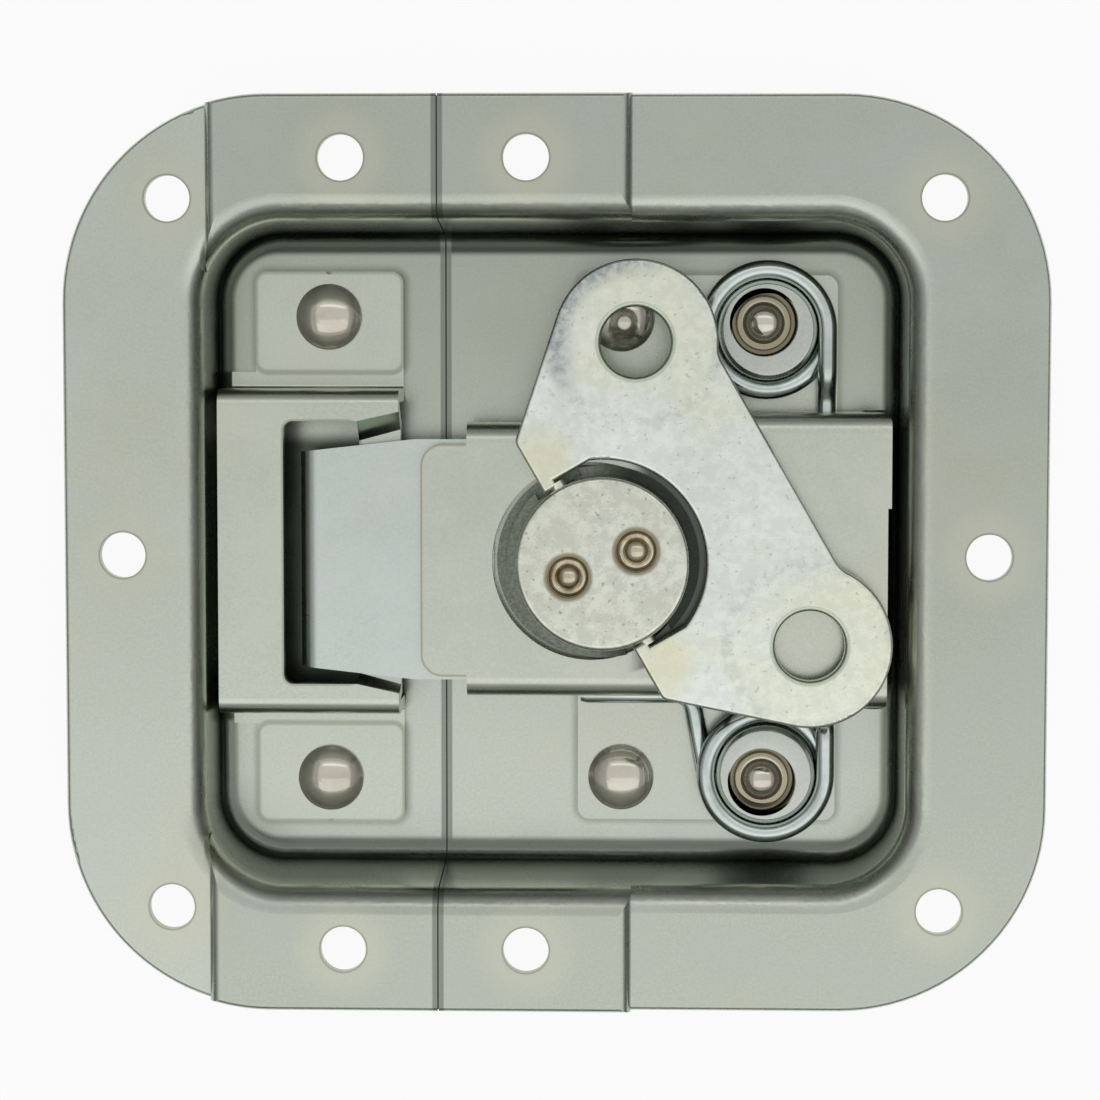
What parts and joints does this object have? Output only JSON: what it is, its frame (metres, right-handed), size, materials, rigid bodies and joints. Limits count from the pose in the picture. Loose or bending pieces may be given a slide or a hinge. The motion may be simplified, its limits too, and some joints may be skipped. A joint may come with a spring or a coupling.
{
  "type": "butterfly case latch",
  "caption": "Recessed butterfly latch for a transport case: two-part steel dish, riveted keeper strike and a lift-up rotary draw latch with folding butterfly handle.",
  "frame": {"origin": "middle of the dish's back face, on the plane the latch lies on", "axes": "+X from the keeper half to the latch half, +Z out of the face, +Y towards the upper flange"},
  "size_m": [0.112, 0.1044, 0.0167],
  "materials": {
    "dish_zinc": "satin grey-green zinc plate on drawn steel",
    "strike_zinc": "satin zinc plate on bent steel",
    "bracket_zinc": "satin zinc plate",
    "frame_zinc": "satin zinc plate on bent steel",
    "hook_zinc": "satin bluish zinc plate",
    "cam_zinc": "dull zinc plate on turned steel",
    "handle_zinc": "mottled zinc plate with yellow and blue tints",
    "hub_rivet_steel": "brownish bare steel",
    "rivet_nickel": "bright nickel plate",
    "spring_wire": "bright zinc-plated spring wire"
  },
  "bodies": {
    "root": {"keeper_dish": "dish_zinc", "latch_dish": "dish_zinc", "keeper_strike": "strike_zinc", "base_bracket": "bracket_zinc", "keeper_rivet_upper": "rivet_nickel", "keeper_rivet_lower": "rivet_nickel", "bracket_rivet_upper": "rivet_nickel", "bracket_rivet_lower": "rivet_nickel", "spring_post_upper": "rivet_nickel", "spring_post_lower": "rivet_nickel", "spring_collar_upper": "bracket_zinc", "spring_collar_lower": "bracket_zinc", "lift_spring": "spring_wire", "pivot_pin": "hub_rivet_steel"},
    "frame": {"latch_frame": "frame_zinc", "frame_backplate": "frame_zinc"},
    "hook": {"hook_plate": "hook_zinc"},
    "hub": {"hub_cam": "cam_zinc", "hub_cap": "handle_zinc", "hub_retainer": "cam_zinc", "hub_rivet_left": "hub_rivet_steel", "hub_rivet_right": "hub_rivet_steel"},
    "handle": {"butterfly_handle": "handle_zinc"}
  },
  "joints": [
    {"name": "frame_lift", "type": "hinge", "parent": "root", "child": "frame", "pos_m": [0.0367, -0.0008, 0.0072], "axis": [0, 1, 0], "range_deg": [0, 5], "deforming": ["lift_spring"]},
    {"name": "hub_turn", "type": "hinge", "parent": "frame", "child": "hub", "pos_m": [0.0055, -0.0008, 0.0142], "axis": [0, 0, 1], "range_deg": [0, 180]},
    {"name": "hook_draw", "type": "slide", "parent": "frame", "child": "hook", "axis": [1, 0, 0], "range_m": [0, 0.0027]},
    {"name": "handle_flip", "type": "hinge", "parent": "hub", "child": "handle", "pos_m": [0.0055, -0.0008, 0.0142], "axis": [0.5, -0.866, 0], "range_deg": [0, 90]}
  ],
  "couplings": [
    {"joint": "hook_draw", "follows": "hub_turn", "m_per_rad": 0.000859}
  ]
}
